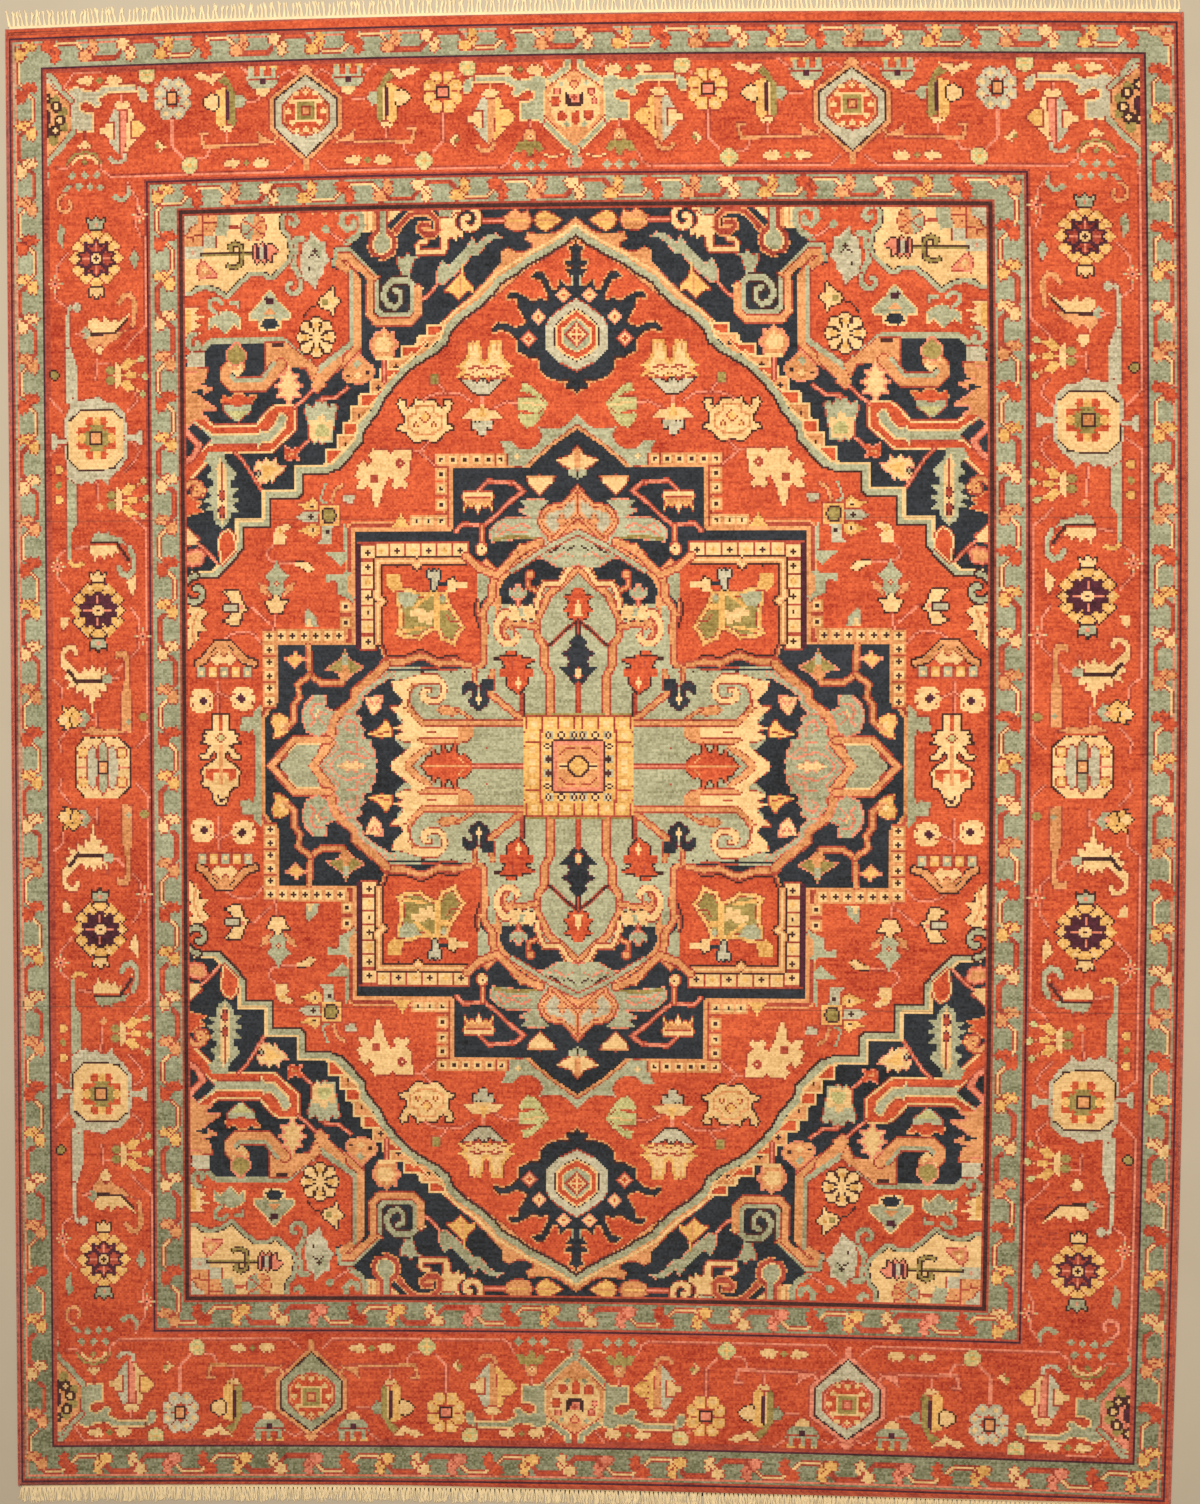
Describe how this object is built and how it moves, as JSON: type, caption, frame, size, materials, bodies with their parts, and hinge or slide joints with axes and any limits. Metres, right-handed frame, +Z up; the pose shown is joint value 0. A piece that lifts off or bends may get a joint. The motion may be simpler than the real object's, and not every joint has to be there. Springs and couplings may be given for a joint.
{
  "type": "hand-knotted medallion rug",
  "caption": "Large flat hand-knotted wool rug with a medallion, patterned borders, overcast sides and a cotton fringe at both ends, laid on a floor.",
  "frame": {"origin": "on the underside, in the middle of the rectangle that the weaver set out to fill, which is the middle of the rug's outline to within about 12 mm", "axes": "+X across the rug to its right side, +Y along the warps to its top end, +Z up out of the pile"},
  "size_m": [2.471, 3.1958, 0.0107],
  "materials": {
    "pile_wool": "short cut pile of hand-spun wool in about a dozen colours, mostly madder red and dark indigo",
    "selvedge_wool": "rust red wool yarn wrapped round the outer warps",
    "warp_cotton": "ivory cotton warps, flat-woven for a few millimetres and then loose"
  },
  "bodies": {
    "root": {"knotted_cloth": "pile_wool", "selvedge_left": "selvedge_wool", "selvedge_right": "selvedge_wool", "fringe_top": "warp_cotton", "fringe_bottom": "warp_cotton"}
  },
  "joints": []
}
